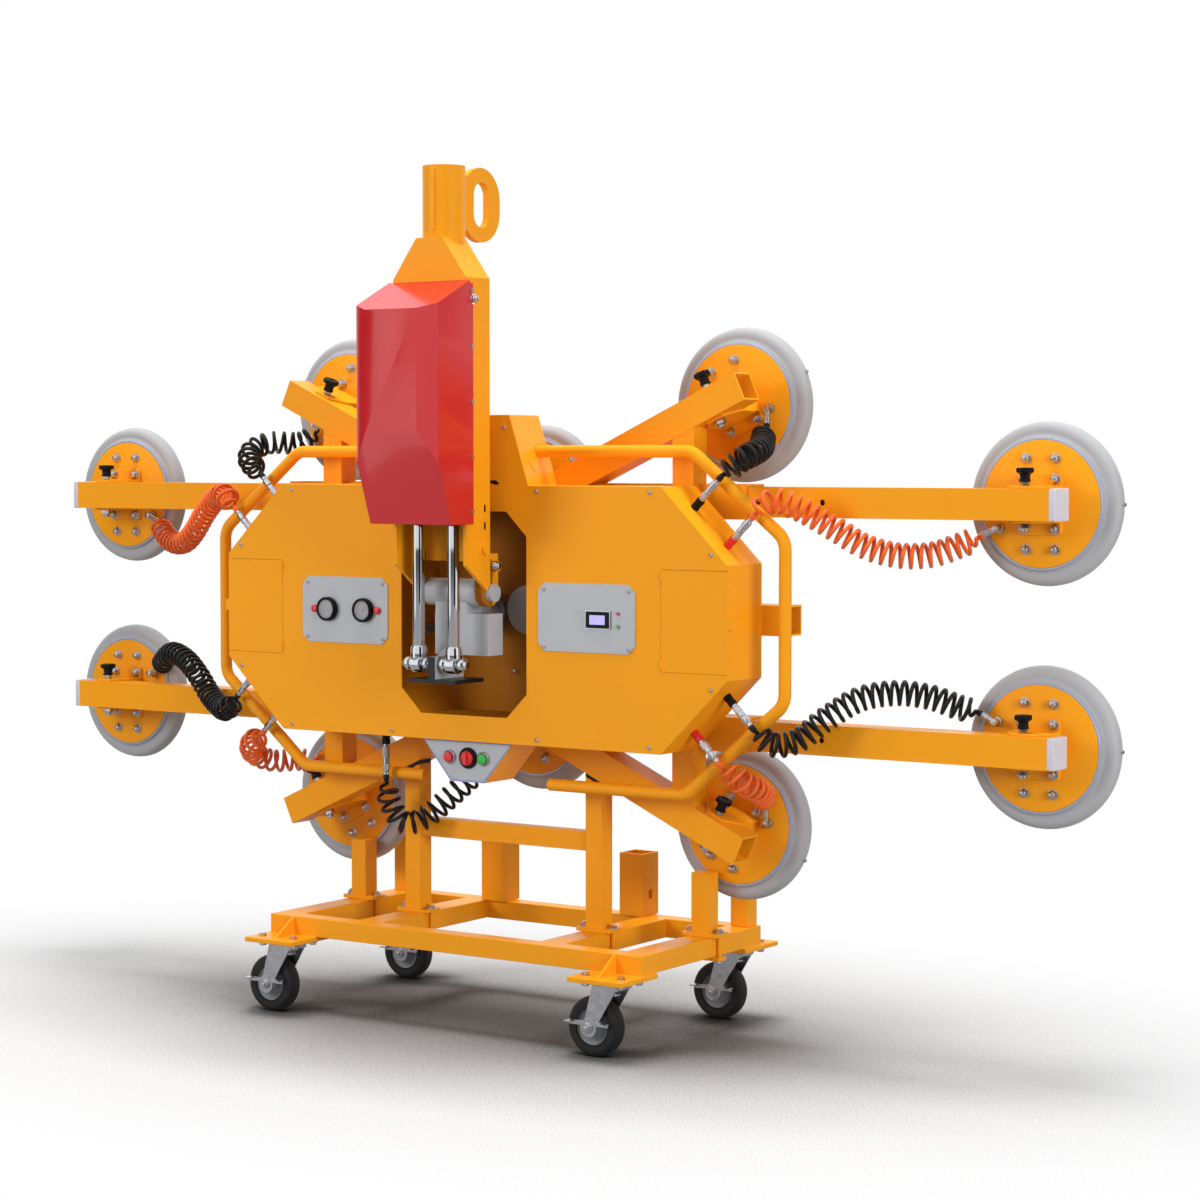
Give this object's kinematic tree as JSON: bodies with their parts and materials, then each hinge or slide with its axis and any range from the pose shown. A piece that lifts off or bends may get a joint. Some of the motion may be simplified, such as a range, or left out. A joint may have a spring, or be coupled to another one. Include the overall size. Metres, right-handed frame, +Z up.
{
  "type": "vacuum glass lifter",
  "caption": "Vacuum glass panel lifter with suction cups on sliding arms, control box and tilting mast, standing on its wheeled transport cart.",
  "frame": {"origin": "centre of the bounding box, at the floor under the casters", "axes": "+Z up, +Y towards the suction cups, -Y towards the control panel front, +X to the right seen from the front"},
  "size_m": [2.676, 0.695, 1.7719],
  "materials": {
    "yellow_paint": "semi-gloss powder coat",
    "red_paint": "gloss red paint",
    "zinc": "zinc plated",
    "chrome": "bright",
    "cast_grey": "grey casting",
    "tyre_black": "matte rubber",
    "rest_rubber": "matte",
    "skirt_rubber": "light grey rubber",
    "plate_silver": "anodised",
    "black_plastic": "matte",
    "red_plastic": "gloss",
    "green_plastic": "gloss",
    "cap_plastic": "moulded",
    "hose_black": "polyurethane",
    "hose_orange": "polyurethane"
  },
  "bodies": {
    "cart": {"cart_chassis": "yellow_paint", "cart_posts": "yellow_paint", "cart_fittings": "zinc", "rest_pads": "rest_rubber"},
    "fork_fl": {"caster_fork_fl": "zinc"},
    "wheel_fl": {"caster_wheel_fl": "tyre_black"},
    "pedal_fl": {"brake_pedal_fl": "zinc"},
    "fork_fr": {"caster_fork_fr": "zinc"},
    "wheel_fr": {"caster_wheel_fr": "tyre_black"},
    "pedal_fr": {"brake_pedal_fr": "zinc"},
    "fork_rl": {"caster_fork_rl": "zinc"},
    "wheel_rl": {"caster_wheel_rl": "tyre_black"},
    "pedal_rl": {"brake_pedal_rl": "zinc"},
    "fork_rr": {"caster_fork_rr": "zinc"},
    "wheel_rr": {"caster_wheel_rr": "tyre_black"},
    "pedal_rr": {"brake_pedal_rr": "zinc"},
    "frame": {"lifting_frame": "yellow_paint", "bumper_tubes": "yellow_paint", "enclosure_body": "yellow_paint", "front_panel": "yellow_paint", "enclosure_screws": "zinc", "instrument_plates": "plate_silver", "vacuum_gauges": "black_plastic", "display_unit": "black_plastic", "control_housing": "yellow_paint", "control_panel": "plate_silver", "hose_couplers": "chrome", "rotary_bearing": "cast_grey", "vacuum_unit": "plate_silver", "fixed_cup_plates": "yellow_paint", "fixed_cup_skirts": "skirt_rubber", "fixed_cup_brackets": "zinc", "hoses_black": "hose_black", "hoses_orange": "hose_orange"},
    "red_push": {"red_button": "red_plastic"},
    "green_push": {"green_button": "green_plastic"},
    "selector": {"rotary_switch": "black_plastic"},
    "door_l": {"door_left": "yellow_paint"},
    "door_r": {"door_right": "yellow_paint"},
    "slide_ul": {"arm_ul": "yellow_paint", "arm_cup_ul": "yellow_paint", "arm_skirt_ul": "skirt_rubber", "arm_hose_ul": "hose_orange"},
    "slide_ur": {"arm_ur": "yellow_paint", "arm_cup_ur": "yellow_paint", "arm_skirt_ur": "skirt_rubber", "arm_hose_ur": "hose_orange"},
    "slide_ll": {"arm_ll": "yellow_paint", "arm_cup_ll": "yellow_paint", "arm_skirt_ll": "skirt_rubber", "arm_hose_ll": "hose_black"},
    "slide_lr": {"arm_lr": "yellow_paint", "arm_cup_lr": "yellow_paint", "arm_skirt_lr": "skirt_rubber", "arm_hose_lr": "hose_black"},
    "head": {"tilt_head": "cast_grey"},
    "mast": {"mast_column": "yellow_paint", "cylinder_cover": "red_paint"},
    "barrels": {"tilt_cylinders": "zinc"},
    "rods": {"cylinder_rods": "chrome"}
  },
  "joints": [
    {"name": "swivel_fl", "type": "hinge", "parent": "cart", "child": "fork_fl", "pos_m": [-0.416, -0.1795, 0.147], "axis": [0, 0, 1], "continuous": true},
    {"name": "roll_fl", "type": "hinge", "parent": "fork_fl", "child": "wheel_fl", "pos_m": [-0.453, -0.1795, 0.06], "axis": [0, 1, 0], "continuous": true},
    {"name": "brake_fl", "type": "hinge", "parent": "fork_fl", "child": "pedal_fl", "pos_m": [-0.453, -0.2085, 0.06], "axis": [0, 1, 0], "range_deg": [-12, 12]},
    {"name": "swivel_fr", "type": "hinge", "parent": "cart", "child": "fork_fr", "pos_m": [0.416, -0.1795, 0.147], "axis": [0, 0, 1], "continuous": true},
    {"name": "roll_fr", "type": "hinge", "parent": "fork_fr", "child": "wheel_fr", "pos_m": [0.379, -0.1795, 0.06], "axis": [0, 1, 0], "continuous": true},
    {"name": "brake_fr", "type": "hinge", "parent": "fork_fr", "child": "pedal_fr", "pos_m": [0.379, -0.2085, 0.06], "axis": [0, 1, 0], "range_deg": [-12, 12]},
    {"name": "swivel_rl", "type": "hinge", "parent": "cart", "child": "fork_rl", "pos_m": [-0.416, 0.2825, 0.147], "axis": [0, 0, 1], "continuous": true},
    {"name": "roll_rl", "type": "hinge", "parent": "fork_rl", "child": "wheel_rl", "pos_m": [-0.453, 0.2825, 0.06], "axis": [0, 1, 0], "continuous": true},
    {"name": "brake_rl", "type": "hinge", "parent": "fork_rl", "child": "pedal_rl", "pos_m": [-0.453, 0.2535, 0.06], "axis": [0, 1, 0], "range_deg": [-12, 12]},
    {"name": "swivel_rr", "type": "hinge", "parent": "cart", "child": "fork_rr", "pos_m": [0.416, 0.2825, 0.147], "axis": [0, 0, 1], "continuous": true},
    {"name": "roll_rr", "type": "hinge", "parent": "fork_rr", "child": "wheel_rr", "pos_m": [0.379, 0.2825, 0.06], "axis": [0, 1, 0], "continuous": true},
    {"name": "brake_rr", "type": "hinge", "parent": "fork_rr", "child": "pedal_rr", "pos_m": [0.379, 0.2535, 0.06], "axis": [0, 1, 0], "range_deg": [-12, 12]},
    {"name": "lift_off", "type": "slide", "parent": "cart", "child": "frame", "axis": [0, 0, 1], "range_m": [0, 0.5]},
    {"name": "red_press", "type": "slide", "parent": "frame", "child": "red_push", "axis": [0, 1, 0], "range_m": [0, 0.004], "stiffness_N_per_m": 600, "springref_m": -0.002},
    {"name": "green_press", "type": "slide", "parent": "frame", "child": "green_push", "axis": [0, 1, 0], "range_m": [0, 0.004], "stiffness_N_per_m": 600, "springref_m": -0.002},
    {"name": "selector_turn", "type": "hinge", "parent": "frame", "child": "selector", "pos_m": [0.003, -0.1045, 0.56], "axis": [0, 1, 0], "range_deg": [0, 90]},
    {"name": "door_left_hinge", "type": "hinge", "parent": "frame", "child": "door_l", "pos_m": [-0.484, -0.1115, 0.859], "axis": [0, 0, 1], "range_deg": [0, 110]},
    {"name": "door_right_hinge", "type": "hinge", "parent": "frame", "child": "door_r", "pos_m": [0.484, -0.1115, 0.859], "axis": [0, 0, 1], "range_deg": [-110, 0]},
    {"name": "arm_slide_ul", "type": "slide", "parent": "frame", "child": "slide_ul", "axis": [-1, 0, 0], "range_m": [-0.18, 0], "deforming": ["arm_hose_ul"]},
    {"name": "arm_slide_ur", "type": "slide", "parent": "frame", "child": "slide_ur", "axis": [1, 0, 0], "range_m": [-0.18, 0], "deforming": ["arm_hose_ur"]},
    {"name": "arm_slide_ll", "type": "slide", "parent": "frame", "child": "slide_ll", "axis": [-1, 0, 0], "range_m": [-0.18, 0], "deforming": ["arm_hose_ll"]},
    {"name": "arm_slide_lr", "type": "slide", "parent": "frame", "child": "slide_lr", "axis": [1, 0, 0], "range_m": [-0.18, 0], "deforming": ["arm_hose_lr"]},
    {"name": "head_turn", "type": "hinge", "parent": "frame", "child": "head", "pos_m": [0, -0.0515, 0.859], "axis": [0, 1, 0], "range_deg": [-90, 90]},
    {"name": "mast_tilt", "type": "hinge", "parent": "head", "child": "mast", "pos_m": [0, -0.1315, 0.904], "axis": [1, 0, 0], "range_deg": [0, 90]},
    {"name": "cylinder_swing", "type": "hinge", "parent": "mast", "child": "barrels", "pos_m": [0, -0.2015, 1.48], "axis": [1, 0, 0], "range_deg": [-10, 0]},
    {"name": "rod_stroke", "type": "slide", "parent": "barrels", "child": "rods", "axis": [0, 0, 1], "range_m": [0, 0.215]}
  ],
  "couplings": [
    {"joint": "cylinder_swing", "follows": "mast_tilt", "ratio": -0.0924},
    {"joint": "rod_stroke", "follows": "mast_tilt", "m_per_rad": 0.1328}
  ]
}
